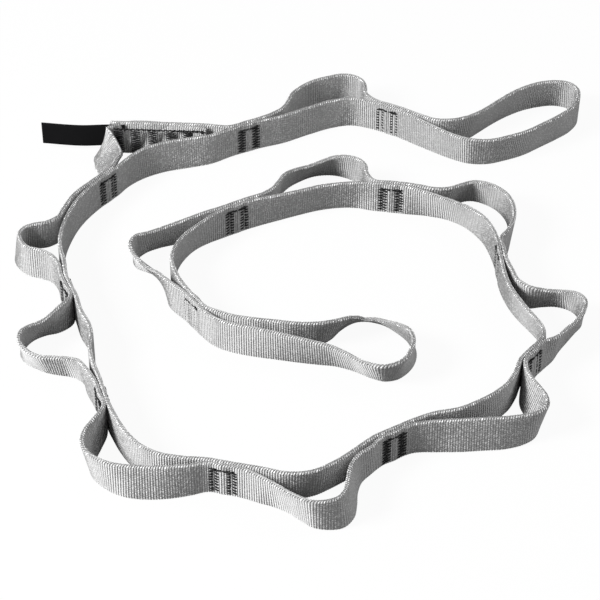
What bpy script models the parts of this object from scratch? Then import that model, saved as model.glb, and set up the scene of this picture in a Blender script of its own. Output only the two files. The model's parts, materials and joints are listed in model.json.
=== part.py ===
"""Daisy chain of flat webbing, coiled on edge: bar tacks divide one long sewn loop into pockets."""

import math

import bmesh
import bpy
from mathutils import Matrix, Vector

MM = 0.001

WEBBING_WIDTH = 19.0 * MM
WEBBING_THICKNESS = 2.2 * MM
SELVEDGE_CHAMFER = 0.6 * MM
CLEARANCE = 0.3 * MM
TACK_PITCH = 88.0 * MM

BAR_PITCH = 8.6 * MM
BAR_WIDTH = 4.6 * MM
BAR_FOOT_MARGIN = 1.4 * MM
BAR_TOP_MARGIN = 2.6 * MM
THREAD_PAD = 0.5 * MM
TOP_RUN_HEIGHT = 1.4 * MM
STITCH_PLATE = 1.6 * MM
STITCH_PLATE_INSET = 1.0 * MM

SPLICE_POCKET = 2
SPLICE_BARS = 5
SPLICE_BAR_PITCH = 9.6 * MM
SPLICE_BAR_CENTRE = 3.0 * MM
SPLICE_TAIL = 4.8 * MM
SPLICE_RUN_MARGIN = 2.0 * MM
SPLICE_RUN_TOP_MARGIN = 1.6 * MM
THREAD_KNOT = 2.6 * MM

LABEL_WIDTH = 14.0 * MM
LABEL_RISE = 1.3 * MM
LABEL_THICKNESS = 0.5 * MM
LABEL_TUCK = 3.6 * MM
LABEL_SHOWN = 38.0 * MM
LABEL_BOW = 1.4 * MM
LABEL_DROOP_DEGREES = 4

MOST_TURN = math.radians(11)
LONGEST_STEP = 8.0 * MM
WELD_DISTANCE = 0.01 * MM
KNUCKLE_SIDES = 16

LAYER_OFFSET = (WEBBING_THICKNESS + CLEARANCE) / 2
OUTER, INNER = -LAYER_OFFSET, LAYER_OFFSET
KNUCKLE_RADIUS = WEBBING_THICKNESS + CLEARANCE / 2
TACK_HALF = BAR_PITCH / 2 + BAR_WIDTH / 2 + CLEARANCE
HINGE_REACH = TACK_HALF + CLEARANCE + KNUCKLE_RADIUS
BAR_LOW = BAR_FOOT_MARGIN
BAR_HIGH = WEBBING_WIDTH - BAR_TOP_MARGIN
TACK_BARS = (-BAR_PITCH / 2, BAR_PITCH / 2)

LAP_OFFSET = (WEBBING_THICKNESS + LABEL_THICKNESS) / 2 + CLEARANCE
LAP_FACE = LAP_OFFSET + WEBBING_THICKNESS / 2
LAST_SPLICE_BAR = SPLICE_BAR_CENTRE + SPLICE_BAR_PITCH * (SPLICE_BARS - 1) / 2
SPLICE_HALF = LAST_SPLICE_BAR + SPLICE_TAIL
SPLICE_RUN_START = SPLICE_RUN_MARGIN - SPLICE_HALF
SPLICE_RUN_HIGH = WEBBING_WIDTH - SPLICE_RUN_TOP_MARGIN

# Every point of the layout is written in shares of the tack pitch. A route is drawn from the hinge, or
# from the turn at the end of the splice, to the next tack's stitches. Each lies this many shares from
# its station.
SHARES_IN_A_PITCH = 88
SHARE = TACK_PITCH / SHARES_IN_A_PITCH
HINGE_SHARE = 9.55
STITCH_SHARE = 6.9
SPLICE_TURN_SHARE = 51.8

# Tack centres: x share, y share, heading of the chain in degrees.
TACK_SHARES = (
    (49.5, 147.8, 151),
    (-29.5, 131, 206),
    (-105, 84, 232),
    (-117.5, -8, 291),
    (-94.7, -89, 287),
    (-35.5, -138, 346),
    (43, -116, 31),
    (112.5, -59.5, 53),
    (103.5, 20, 94),
    (48.5, 75.6, 170),
    (-34.5, 57.5, 210),
    (-53, -20, 306),
)
# Where the splice begins.
SPLICE_SHARES = (-51.54, 127.59, 177)

# Routes between the tacks: x share, y share, degrees that the top edge leans to the left of travel.
START_LOOP_SHARES = (
    (66.5, 138.8, 0), (75, 135, -3), (84, 135.2, -6), (93, 139.2, -10), (101, 146, -14),
    (109, 154, -14), (118, 162, -12), (127, 168, -10), (136, 171.7, -8), (145, 173, -8),
    (152, 171, -5), (156, 165, 0), (155.8, 156, 2), (151.3, 147.4, 6), (144, 140.3, 9),
    (134, 132.4, 10), (124, 125, 10), (113.5, 120, 10), (103, 116.6, 10), (93, 117.3, 9),
    (83.5, 121.8, 8), (74.5, 128.2, 5), (66, 134.8, 2),
)
SPINE_SHARES = (
    ((28, 154.8, 0), (18, 152.5, 0), (5, 146.2, 0), (-10, 137.8, 0)),
    ((-50, 118.6, -3), (-62, 115.4, -6), (-76, 111.2, -6), (-87, 104.7, -4), (-94.5, 96.8, 0)),
    ((-118, 61, 0), (-122, 48, 0), (-124, 36, 0), (-124, 24, 0), (-121, 11, 0)),
    ((-108.8, -30, 0), (-104.8, -38.5, 0), (-102.8, -47, 0), (-102.7, -56, 0), (-100.8, -66, 0)),
    ((-88.3, -103.5, 0), (-84.3, -112, 0), (-79.5, -119.8, 0), (-73.5, -126.5, 0),
     (-65.5, -131.3, 0), (-55, -133.8, 0)),
    ((-17, -141.2, 0), (-8, -143.2, -4), (0, -143, -7), (7, -141, -8), (13.5, -137, -8),
     (19.5, -132.5, -7), (26, -127, -4), (32.5, -121.6, 0)),
    ((64, -103.6, 0), (75.5, -100.7, 0), (84, -96, 0), (93, -89.5, 0), (99.5, -82.5, 0),
     (103.6, -74.5, 0)),
    ((120.2, -45.5, 4), (120.4, -40, 10), (118.4, -33.5, 14), (114.8, -26.3, 14),
     (110.8, -18.6, 11), (106.9, -9.6, 8), (104.4, 0, 4)),
    ((99.8, 38, 1), (97.2, 45.5, 4), (92.4, 53.2, 9), (86, 60, 15), (78, 65.4, 17), (69, 69.2, 12)),
    ((30, 77.4, 6), (20, 76.9, 9), (10, 74.8, 9), (0, 71, 9), (-10, 67, 7)),
    ((-47.5, 47.6, 5), (-54.5, 41, 10), (-60.7, 32.5, 7), (-64.6, 23, 3), (-65.8, 12.5, 0),
     (-63.8, 2.5, 0)),
)
LOOP_SHARES = (
    ((36.6, 161, 0), (36.6, 167, 0), (34.8, 173, 0), (30.5, 177, 0), (25, 178.3, 0),
     (15.5, 175.8, 0), (6.5, 171.5, 0), (0.5, 166.2, 0), (-4.3, 160, 0), (-7, 152, 0),
     (-10, 145.5, 0), (-16, 140, 0)),
    (),
    ((-119.8, 66.5, 0), (-124.3, 55, 0), (-127.8, 47.4, 6), (-132.8, 43.4, 7), (-139, 41.8, 8),
     (-144.8, 39, 10), (-147.2, 33, 9), (-145.4, 26.8, 6), (-140.4, 21, 2), (-133.6, 18.4, 2),
     (-127.6, 14.6, 0), (-124, 9, 0)),
    ((-121.6, -26, 8), (-126.6, -29.6, 21), (-131.6, -33.6, 25), (-135.6, -38.4, 18),
     (-137.6, -44.4, 2), (-136, -50.4, -14), (-131.6, -55, -23), (-125.8, -58.4, -25),
     (-119.4, -59.8, -22), (-112.8, -61, -20), (-107, -64.4, -13), (-103.6, -71, -4)),
    ((-96.6, -109.5, -9), (-98.9, -115.5, -13), (-99.8, -121.5, -13), (-98.4, -127.8, -10),
     (-94, -133.4, -6), (-88.4, -137.4, -1), (-80, -140.4, 6), (-70, -141.4, 8), (-60, -141, 6),
     (-51, -139.6, 2)),
    ((-18.5, -145.6, -4), (-12, -149, -10), (-6, -153.2, -13), (-0.5, -157.7, -11),
     (6, -161.6, -6), (12.5, -162, 0), (18.3, -160.2, 7), (22, -155, 11), (23.4, -147.8, 11),
     (24.4, -139.6, 8), (27.5, -132, 2), (32.6, -126.7, -3)),
    ((65.5, -110.2, 6), (75, -109.8, 8), (86, -108.9, 8), (97, -108, 7), (105.3, -105.9, 2),
     (111.7, -102.3, -6), (114.8, -97.4, -14), (114.2, -91.6, -19), (111.8, -86, -20),
     (109.3, -80, -15), (108.4, -73.5, -6)),
    ((125, -47.8, -9), (129.8, -40.8, -15), (134.8, -34, -18), (139, -27.2, -16),
     (141.6, -20.6, -5), (140.2, -14.8, 10), (136.2, -10.6, 21), (130.3, -8.4, 26),
     (123.5, -8.2, 24), (116.8, -8, 16), (111, -4.4, 7), (108, 2.8, 2)),
    ((107.6, 36, -3), (109.8, 42.5, -6), (111.2, 50, -7), (111.8, 58, -2), (110.2, 66, 3),
     (106, 73.3, 9), (99.5, 79, 15), (92, 81.4, 20), (85, 79, 21), (78, 75, 18),
     (71, 73.5, 12), (64.5, 74.2, 5)),
    ((35.4, 86.5, 0), (35.2, 92, 1), (32.2, 98, 6), (26, 102.4, 13), (17.5, 104.2, 23),
     (9, 102.3, 31), (1.5, 97.8, 31), (-5.5, 92.3, 24), (-10.3, 85.4, 14), (-12.2, 78.6, 6),
     (-14.9, 71.8, 2), (-20, 66.8, 0)),
    ((-51.5, 50.4, 4), (-59, 47, 10), (-66.5, 44, 16), (-74, 40.6, 20), (-81, 36.3, 18),
     (-86, 31, 4), (-86, 25, -14), (-82, 20, -30), (-77, 15.6, -38), (-73, 10, -36),
     (-70, 3, -20), (-67.2, -4, -6)),
)
SPLICE_END_SHARES = (
    (-107.8, 127, 12), (-108.4, 123.2, 33), (-107, 117.6, 46), (-104.8, 111, 48),
    (-102.8, 104.2, 36), (-101.4, 97.8, 12),
)
FAR_LOOP_SHARES = (
    (-41.5, -35.6, 0), (-34, -39.4, 0), (-25, -42.2, 0), (-14, -45, -3), (-3, -48, -8),
    (8, -50.8, -14), (17, -53, -20), (25, -57, -25), (33, -62.3, -28), (41, -65, -26),
    (48, -62.8, -20), (52.8, -57, -10), (55.4, -49.8, 0), (55.1, -42.4, 12), (51.8, -35.6, 26),
    (45.4, -29, 38), (38, -23.8, 46), (30, -22.8, 48), (23.5, -26.5, 36), (17, -32.4, 22),
    (9, -36.6, 12), (-1, -38, 6), (-12, -37, 2), (-24, -35.4, 0), (-34, -33, 0), (-40.5, -30, 0),
)


def clear_scene():
    for obj in list(bpy.data.objects):
        bpy.data.objects.remove(obj, do_unlink=True)


def collection(name):
    made = bpy.data.collections.new(name)
    bpy.context.scene.collection.children.link(made)
    return made


def material(name, colour, roughness):
    made = bpy.data.materials.new(name)
    made.use_nodes = True
    shader = made.node_tree.nodes["Principled BSDF"]
    shader.inputs["Base Color"].default_value = (*colour, 1)
    shader.inputs["Roughness"].default_value = roughness
    return made


def direction(degrees):
    return Vector((math.cos(math.radians(degrees)), math.sin(math.radians(degrees))))


def left_of(heading):
    return Vector((-heading.y, heading.x))


class Station:
    """A place on the chain with a heading: points are given along it and to its left of its centre."""

    def __init__(self, row, ahead=0.0):
        self.heading = direction(row[2])
        self.left = left_of(self.heading)
        self.drawn = Vector((row[0], row[1])) * SHARE
        self.centre = self.drawn + self.heading * ahead

    def at_share(self, share):
        return self.drawn + self.heading * share * SHARE

    def at(self, along, left=0.0):
        return self.centre + self.heading * along + self.left * left

    def matrix(self, along=0.0, height=0.0):
        spot = self.at(along)
        turn = Matrix.Rotation(math.atan2(self.heading.y, self.heading.x), 4, "Z")
        return Matrix.Translation((spot.x, spot.y, height)) @ turn


def section_outline(width, thickness, chamfer):
    """Corners of the strip's cross-section: sideways, upwards."""
    half, tall = thickness / 2, width / 2
    corners = ((half, tall - chamfer), (half - chamfer, tall))
    outline = [(x, z) for x, z in corners]
    outline += [(-x, z) for x, z in reversed(corners)]
    outline += [(-x, -z) for x, z in corners]
    outline += [(x, -z) for x, z in reversed(corners)]
    return outline


WEBBING_OUTLINE = section_outline(WEBBING_WIDTH, WEBBING_THICKNESS, SELVEDGE_CHAMFER)


def standing_height(lean):
    """Height of the strip's middle when it leans and its lowest corner is on the table."""
    return -min(z * math.cos(lean) - x * math.sin(lean) for x, z in WEBBING_OUTLINE)


def hermite(a, b, slope_a, slope_b, t):
    square, cube = t * t, t * t * t
    return (
        a * (2 * cube - 3 * square + 1)
        + slope_a * (cube - 2 * square + t)
        + b * (3 * square - 2 * cube)
        + slope_b * (cube - square)
    )


def smoothed(knots, first_heading, last_heading, steps=14):
    """A smooth run through (x, y, lean) knots that leaves and arrives along the given headings."""
    spans = [(b.xy - a.xy).length for a, b in zip(knots, knots[1:])]
    slopes = []
    for i, knot in enumerate(knots):
        if i == 0:
            slopes.append(Vector((*first_heading, 0)))
        elif i == len(knots) - 1:
            slopes.append(Vector((*last_heading, 0)))
        else:
            before = (knot - knots[i - 1]) / spans[i - 1]
            after = (knots[i + 1] - knot) / spans[i]
            slopes.append((before * spans[i] + after * spans[i - 1]) / (spans[i - 1] + spans[i]))
    run = [knots[0]]
    for i, span in enumerate(spans):
        for step in range(1, steps + 1):
            run.append(hermite(knots[i], knots[i + 1], slopes[i] * span, slopes[i + 1] * span, step / steps))
    return run


def thinned(run):
    """Keeps a point wherever the run has turned or gone far enough since the last one kept."""
    kept = [run[0]]
    turned = 0.0
    for i in range(1, len(run) - 1):
        before, after = run[i].xy - run[i - 1].xy, run[i + 1].xy - run[i].xy
        turned += abs(before.angle_signed(after))
        if turned > MOST_TURN or (run[i].xy - kept[-1].xy).length > LONGEST_STEP:
            kept.append(run[i])
            turned = 0.0
    return kept + [run[-1]]


def flat(point, lean=0.0):
    return Vector((point.x, point.y, lean))


def route(rows, start, end=None):
    """Knots from rows of shares. Start and end are (station, share along it, real length along it)."""
    drawn = [Vector((x, y)) * SHARE for x, y, lean in rows]
    first_drawn, first = start[0].at_share(start[1]), start[0].at(start[2])
    chord_drawn = chord = start[0].heading
    if end:
        chord_drawn = end[0].at_share(end[1]) - first_drawn
        chord = end[0].at(end[2]) - first
    turn = Matrix.Rotation(-chord_drawn.angle_signed(chord), 2)
    stretch = chord.length / chord_drawn.length
    placed = [first + turn @ (spot - first_drawn) * stretch for spot in drawn]
    return [flat(spot, math.radians(row[2])) for spot, row in zip(placed, rows)]


def from_hinge(tack):
    return tack, HINGE_SHARE, HINGE_REACH


def to_stitches(tack):
    return tack, -STITCH_SHARE, -TACK_HALF


def profile_curve(name, outline):
    """A closed outline that strips are swept from."""
    data = bpy.data.curves.new(name, "CURVE")
    data.dimensions = "2D"
    line = data.splines.new("POLY")
    line.points.add(len(outline) - 1)
    for point, (x, y) in zip(line.points, outline):
        point.co = (x, y, 0, 1)
    line.use_cyclic_u = True
    return cutter_object(name, data, Matrix())


def mesh_object(name, data, slot):
    obj = bpy.data.objects.new(name, data)
    parts.objects.link(obj)
    data.materials.clear()
    data.materials.append(slot)
    return obj


def strip(name, run, profile, slot, heights):
    """Sweeps the profile along the run, standing on edge, and returns the mesh object."""
    data = bpy.data.curves.new(name + "_route", "CURVE")
    data.dimensions = "3D"
    data.twist_mode = "Z_UP"
    data.bevel_mode = "OBJECT"
    data.bevel_object = profile
    data.use_fill_caps = True
    line = data.splines.new("POLY")
    line.points.add(len(run) - 1)
    for point, spot, height in zip(line.points, run, heights):
        point.co = (spot.x, spot.y, height, 1)
        point.tilt = -spot.z
    guide = bpy.data.objects.new(name + "_route", data)
    cutters.objects.link(guide)
    graph = bpy.context.evaluated_depsgraph_get()
    solid = bpy.data.meshes.new_from_object(guide.evaluated_get(graph))
    bpy.data.objects.remove(guide)
    shell = bmesh.new()
    shell.from_mesh(solid)
    bmesh.ops.remove_doubles(shell, verts=shell.verts, dist=WELD_DISTANCE)
    bmesh.ops.recalc_face_normals(shell, faces=shell.faces)
    shell.to_mesh(solid)
    shell.free()
    return mesh_object(name, solid, slot)


def webbing(name, straight_start, knots, straight_end, first_heading, last_heading):
    """One strand: a straight start, a smooth route and a straight end."""
    run = thinned(smoothed(knots, first_heading, last_heading))
    run = [flat(straight_start)] + run + ([flat(straight_end)] if straight_end else [])
    return strip(name, run, webbing_profile, webbing_grey, [standing_height(p.z) for p in run])


def cut(obj, cutter):
    step = obj.modifiers.new("cut_" + cutter.name, "BOOLEAN")
    step.operation = "DIFFERENCE"
    step.solver = "EXACT"
    step.object = cutter


def box_mesh(name, boxes):
    """One mesh of boxes, each given by its low and high corners."""
    shell = bmesh.new()
    for low, high in boxes:
        low, high = Vector(low), Vector(high)
        made = bmesh.ops.create_cube(shell, size=1.0)["verts"]
        bmesh.ops.scale(shell, vec=high - low, verts=made)
        bmesh.ops.translate(shell, vec=(low + high) / 2, verts=made)
    data = bpy.data.meshes.new(name)
    shell.to_mesh(data)
    shell.free()
    return data


def cutter_object(name, data, matrix):
    obj = bpy.data.objects.new(name, data)
    cutters.objects.link(obj)
    obj.matrix_world = matrix
    obj.hide_render = True
    obj.display_type = "WIRE"
    return obj


def knuckle_mesh():
    """What is cut from the two layers behind a hinge, so that their ends are round about its axis."""
    reach, side = KNUCKLE_RADIUS + CLEARANCE, KNUCKLE_RADIUS + 2 * CLEARANCE
    outline = [(0.0, side), (-2 * reach, side), (-2 * reach, -side), (0.0, -side)]
    for i in range(KNUCKLE_SIDES + 1):
        angle = -math.pi / 2 - math.pi * i / KNUCKLE_SIDES
        outline.append((KNUCKLE_RADIUS * math.cos(angle), KNUCKLE_RADIUS * math.sin(angle)))
    shell = bmesh.new()
    face = shell.faces.new([shell.verts.new((x, y, -CLEARANCE)) for x, y in outline])
    grown = bmesh.ops.extrude_face_region(shell, geom=[face])["geom"]
    lifted = [item for item in grown if isinstance(item, bmesh.types.BMVert)]
    bmesh.ops.translate(shell, vec=(0, 0, WEBBING_WIDTH + 2 * CLEARANCE), verts=lifted)
    bmesh.ops.recalc_face_normals(shell, faces=shell.faces)
    data = bpy.data.meshes.new("knuckle")
    shell.to_mesh(data)
    shell.free()
    return data


def united(name, boxes):
    """The boxes joined to one closed mesh."""
    objects = []
    for i, pair in enumerate(boxes):
        obj = bpy.data.objects.new(f"{name}_{i}", box_mesh(name, [pair]))
        cutters.objects.link(obj)
        objects.append(obj)
    whole = objects[0]
    for other in objects[1:]:
        step = whole.modifiers.new("join", "BOOLEAN")
        step.operation = "UNION"
        step.solver = "EXACT"
        step.object = other
    graph = bpy.context.evaluated_depsgraph_get()
    data = bpy.data.meshes.new_from_object(whole.evaluated_get(graph))
    for obj in objects:
        bpy.data.objects.remove(obj)
    return data


def bar_boxes(centres, face, low, high, run):
    """Thread pads on both faces, a top run on each and a plate through the layers at each bar."""
    boxes = []
    pad_in, pad_out = face + CLEARANCE, face + CLEARANCE + THREAD_PAD
    for side in (-1, 1):
        near, far = sorted((side * pad_in, side * pad_out))
        boxes.append(((run[0], near, run[2]), (run[1], far, run[3])))
        for x in centres:
            boxes.append(((x - BAR_WIDTH / 2, near, low), (x + BAR_WIDTH / 2, far, high)))
    inset = STITCH_PLATE_INSET
    for x in centres:
        half = STITCH_PLATE / 2
        boxes.append(((x - half, -pad_out, low + inset), (x + half, pad_out, high - inset)))
    return boxes


def slot_boxes(centres, face, low, high):
    half = STITCH_PLATE / 2 + CLEARANCE
    inset = STITCH_PLATE_INSET - CLEARANCE
    deep = face + CLEARANCE
    return [((x - half, -deep, low + inset), (x + half, deep, high - inset)) for x in centres]


def sew_tack(number, tack):
    """One bar tack's thread, what it takes from the layers, and the hinge just past it."""
    digits = f"{number:02d}"
    top_run = (*TACK_BARS, BAR_HIGH - TOP_RUN_HEIGHT, BAR_HIGH)
    thread = united("bar_tack_" + digits, bar_boxes(TACK_BARS, KNUCKLE_RADIUS, BAR_LOW, BAR_HIGH, top_run))
    tack.thread = mesh_object("bar_tack_" + digits, thread, thread_black)
    tack.thread.matrix_world = tack.matrix()
    slots = box_mesh("slots_" + digits, slot_boxes(TACK_BARS, KNUCKLE_RADIUS, BAR_LOW, BAR_HIGH))
    tack.slots = cutter_object("slots_" + digits, slots, tack.matrix())
    tack.knuckle = cutter_object("knuckle_" + digits, knuckle_mesh(), tack.matrix(HINGE_REACH))
    tack.hinge = bpy.data.objects.new("hinge_" + digits, None)
    parts.objects.link(tack.hinge)
    tack.hinge.matrix_world = tack.matrix(HINGE_REACH)


def pocket_strand(number, kind, layer, rows):
    """One strand of a pocket, from its round end at the hinge to the far side of the next tack."""
    here, there = tacks[number - 1], tacks[number]
    strand = webbing(
        f"pocket_{number:02d}_{kind}",
        here.at(HINGE_REACH - KNUCKLE_RADIUS, layer),
        [flat(here.at(HINGE_REACH, layer))]
        + route(rows, from_hinge(here), to_stitches(there))
        + [flat(there.at(-TACK_HALF, layer))],
        there.at(TACK_HALF, layer),
        here.heading,
        there.heading,
    )
    cut(strand, there.slots)
    cut(strand, here.knuckle)
    return strand


def splice_first_end():
    """The outer strand of the splice pocket, straight from its hinge to the end of the lap."""
    here = tacks[SPLICE_POCKET - 1]
    strand = webbing(
        f"pocket_{SPLICE_POCKET:02d}_loop",
        here.at(HINGE_REACH - KNUCKLE_RADIUS, OUTER),
        [flat(here.at(HINGE_REACH, OUTER)), flat(splice.at(-SPLICE_HALF, -LAP_OFFSET))],
        splice.at(SPLICE_HALF, -LAP_OFFSET),
        here.heading,
        splice.heading,
    )
    cut(strand, splice.slots)
    cut(strand, here.knuckle)
    return strand


def splice_second_end():
    """The other end of the webbing: it lies along the first, then turns back to the next tack."""
    there = tacks[SPLICE_POCKET]
    turn = SPLICE_HALF - WEBBING_THICKNESS
    free = route(SPLICE_END_SHARES, (splice, SPLICE_TURN_SHARE, turn), to_stitches(there))
    strand = webbing(
        "splice_end",
        splice.at(-SPLICE_HALF, LAP_OFFSET),
        [flat(splice.at(turn, LAP_OFFSET))] + free + [flat(there.at(-TACK_HALF, OUTER))],
        there.at(TACK_HALF, OUTER),
        splice.heading,
        there.heading,
    )
    cut(strand, splice.slots)
    cut(strand, there.slots)
    return strand


def splice_label():
    """The tape label, tucked between the two ends and caught by the last bar of the splice."""
    tip = SPLICE_HALF + LABEL_SHOWN
    root = LAST_SPLICE_BAR - LABEL_TUCK
    knots = [
        flat(splice.at(SPLICE_HALF)),
        flat(splice.at((root + tip) / 2, LABEL_BOW)),
        flat(splice.at(tip)),
    ]
    last_heading = direction(SPLICE_SHARES[2] - LABEL_DROOP_DEGREES)
    run = [flat(splice.at(root))] + thinned(smoothed(knots, splice.heading, last_heading))
    tag = strip("label", run, label_profile, label_black, [WEBBING_WIDTH / 2 + LABEL_RISE] * len(run))
    cut(tag, splice.slots)
    return tag


def splice_stitching():
    """The splice's bars of thread, the run along their tops and the knot that ends it."""
    first = SPLICE_BAR_CENTRE - (LAST_SPLICE_BAR - SPLICE_BAR_CENTRE)
    bars = [first + SPLICE_BAR_PITCH * i for i in range(SPLICE_BARS)]
    run_end = LAST_SPLICE_BAR + BAR_WIDTH / 2
    run = (SPLICE_RUN_START, run_end, SPLICE_RUN_HIGH - TOP_RUN_HEIGHT, SPLICE_RUN_HIGH)
    boxes = bar_boxes(bars, LAP_FACE, BAR_LOW, BAR_HIGH, run)
    face = LAP_FACE + CLEARANCE
    knot_low = (SPLICE_RUN_START - THREAD_KNOT, face, SPLICE_RUN_HIGH - THREAD_KNOT)
    knot_high = (SPLICE_RUN_START + THREAD_KNOT / 2, face + THREAD_PAD, SPLICE_RUN_HIGH)
    boxes.append((knot_low, knot_high))
    thread = mesh_object("splice_stitching", united("splice_stitching", boxes), thread_black)
    thread.matrix_world = splice.matrix()
    slots = box_mesh("slots_splice", slot_boxes(bars, LAP_FACE, BAR_LOW, BAR_HIGH))
    splice.slots = cutter_object("slots_splice", slots, splice.matrix())
    return thread


def start_loop():
    """The first end loop: both its ends lie under the first tack."""
    first = tacks[0]
    knots = [flat(first.at(-TACK_HALF, OUTER))] + route(START_LOOP_SHARES, to_stitches(first))
    strand = webbing(
        "end_loop_start",
        first.at(TACK_HALF, OUTER),
        knots + [flat(first.at(-TACK_HALF, INNER))],
        first.at(TACK_HALF, INNER),
        -first.heading,
        first.heading,
    )
    cut(strand, first.slots)
    return strand


def far_loop():
    """The other end loop, turning about the last hinge."""
    last = tacks[-1]
    knots = [flat(last.at(HINGE_REACH, OUTER))] + route(FAR_LOOP_SHARES, from_hinge(last))
    strand = webbing(
        "end_loop_far",
        last.at(HINGE_REACH - KNUCKLE_RADIUS, OUTER),
        knots + [flat(last.at(HINGE_REACH, INNER))],
        last.at(HINGE_REACH - KNUCKLE_RADIUS, INNER),
        last.heading,
        -last.heading,
    )
    cut(strand, last.knuckle)
    return strand


def pocket(number):
    """All that lies between two hinges: a spine, an outer strand and the tack that ends them."""
    pieces = [tacks[number].thread, pocket_strand(number, "spine", INNER, SPINE_SHARES[number - 1])]
    if number == SPLICE_POCKET:
        thread = splice_stitching()
        return pieces + [thread, splice_first_end(), splice_second_end(), splice_label()]
    return pieces + [pocket_strand(number, "loop", OUTER, LOOP_SHARES[number - 1])]


def centre_on_origin(bodies):
    """Moves the coil so that its box is centred over the origin."""
    bpy.context.view_layer.update()
    corners = [obj.matrix_world @ Vector(c) for body in bodies for obj in body for c in obj.bound_box]
    middle = [(min(c[i] for c in corners) + max(c[i] for c in corners)) / 2 for i in range(2)]
    shift = Matrix.Translation((-middle[0], -middle[1], 0))
    for obj in list(parts.objects) + list(cutters.objects):
        obj.matrix_world = shift @ obj.matrix_world
    bpy.context.view_layer.update()


def hang(obj, holder):
    obj.parent = holder
    obj.matrix_parent_inverse = holder.matrix_world.inverted()


def hang_from_hinges(bodies):
    """Each body hangs from its hinge, and each hinge from the one before."""
    for tack, body in zip(tacks, bodies[1:]):
        for obj in body:
            hang(obj, tack.hinge)
    for before, after in zip(tacks, tacks[1:]):
        hang(after.hinge, before.hinge)
    bpy.context.view_layer.update()


clear_scene()
parts = collection("daisy_chain")
cutters = collection("cutters")
webbing_grey = material("webbing", (0.52, 0.53, 0.54), 0.85)
thread_black = material("thread", (0.03, 0.03, 0.035), 0.7)
label_black = material("label", (0.02, 0.02, 0.022), 0.6)
webbing_profile = profile_curve("webbing_profile", WEBBING_OUTLINE)
label_outline = section_outline(LABEL_WIDTH, LABEL_THICKNESS, LABEL_THICKNESS / 4)
label_profile = profile_curve("label_profile", label_outline)
tacks = [Station(row) for row in TACK_SHARES]
splice = Station(SPLICE_SHARES, SPLICE_HALF)

for number, tack in enumerate(tacks, 1):
    sew_tack(number, tack)
bodies = [[tacks[0].thread, start_loop()]]
bodies += [pocket(number) for number in range(1, len(tacks))]
bodies.append([far_loop()])
centre_on_origin(bodies)
hang_from_hinges(bodies)
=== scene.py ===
"""Dresses the packed daisy chain: ribbed webbing, bar-tack thread, a blank tape label and a pale stage."""

import json
import math

import bpy
import numpy as np
from bpy.props import FloatProperty, FloatVectorProperty, IntProperty, PointerProperty
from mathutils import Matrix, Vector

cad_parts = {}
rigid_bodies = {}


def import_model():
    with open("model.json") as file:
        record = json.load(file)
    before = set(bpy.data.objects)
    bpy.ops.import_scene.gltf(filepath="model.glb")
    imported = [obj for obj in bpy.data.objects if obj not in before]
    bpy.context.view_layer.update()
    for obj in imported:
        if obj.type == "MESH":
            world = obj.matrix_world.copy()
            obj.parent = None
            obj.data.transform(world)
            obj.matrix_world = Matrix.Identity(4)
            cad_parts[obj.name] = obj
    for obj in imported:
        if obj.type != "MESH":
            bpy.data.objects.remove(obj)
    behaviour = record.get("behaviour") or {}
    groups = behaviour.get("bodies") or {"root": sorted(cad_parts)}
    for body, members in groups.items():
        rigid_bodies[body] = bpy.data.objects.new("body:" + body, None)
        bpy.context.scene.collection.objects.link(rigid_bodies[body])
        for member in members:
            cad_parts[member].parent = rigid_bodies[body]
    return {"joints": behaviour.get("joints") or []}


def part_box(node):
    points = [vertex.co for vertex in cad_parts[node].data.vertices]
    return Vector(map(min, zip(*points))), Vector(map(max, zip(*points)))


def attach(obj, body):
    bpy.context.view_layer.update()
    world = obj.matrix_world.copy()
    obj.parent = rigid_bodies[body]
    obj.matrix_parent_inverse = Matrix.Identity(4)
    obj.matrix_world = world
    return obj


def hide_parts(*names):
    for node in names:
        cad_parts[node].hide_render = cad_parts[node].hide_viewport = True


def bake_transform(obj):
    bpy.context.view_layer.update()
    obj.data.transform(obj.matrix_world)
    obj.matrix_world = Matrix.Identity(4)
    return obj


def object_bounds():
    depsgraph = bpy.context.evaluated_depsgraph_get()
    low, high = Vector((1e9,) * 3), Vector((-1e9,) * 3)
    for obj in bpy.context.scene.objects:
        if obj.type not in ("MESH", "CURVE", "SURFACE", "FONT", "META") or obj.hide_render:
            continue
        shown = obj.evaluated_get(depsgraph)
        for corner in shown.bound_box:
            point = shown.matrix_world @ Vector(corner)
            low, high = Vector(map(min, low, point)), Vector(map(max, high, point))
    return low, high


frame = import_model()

bl_info = {
    "name": "Webbing Daisy Chain",
    "version": (1, 0, 0),
    "blender": (4, 5, 0),
    "location": "View3D > Sidebar > Daisy Chain",
    "description": "Sweeps the ribbed webbing, thread and label of a sewn daisy chain round its frame",
    "category": "Add Mesh",
}

CAD_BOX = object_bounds()
MM = 0.001

WEBBING_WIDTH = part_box("pocket_02_spine")[1].z
WEBBING_THICKNESS = 2.2 * MM
LAYER_GAP = 0.3 * MM
LAYER_OFFSET = (WEBBING_THICKNESS + LAYER_GAP) / 2
OUTER, INNER = -LAYER_OFFSET, LAYER_OFFSET
TACK_HALF = 6.9 * MM
HINGE_REACH = 9.55 * MM
BEND_BEHIND = 4.0 * MM
BEND_AHEAD = 5.0 * MM
TACK_FACE = WEBBING_THICKNESS + LAYER_GAP / 2
RIB_ROUNDNESS = 0.8

BAR_PITCH = 8.6 * MM
BAR_WIDTH = 4.6 * MM
BAR_LOW = 1.6 * MM
BAR_HIGH = 16.0 * MM
TACK_BARS = (-BAR_PITCH / 2, BAR_PITCH / 2)
RUN_ROWS = 2
RUN_ROW_SPACING = 0.9  # of the thread's diameter
RUN_BEFORE = BAR_WIDTH / 3
RUN_BEYOND = BAR_WIDTH / 4
KNOT_SPREAD = 1.5  # of the thread's diameter, along the webbing
RISE_SHARPNESS = 0.5
PULL_SHARPNESS = 4

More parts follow.
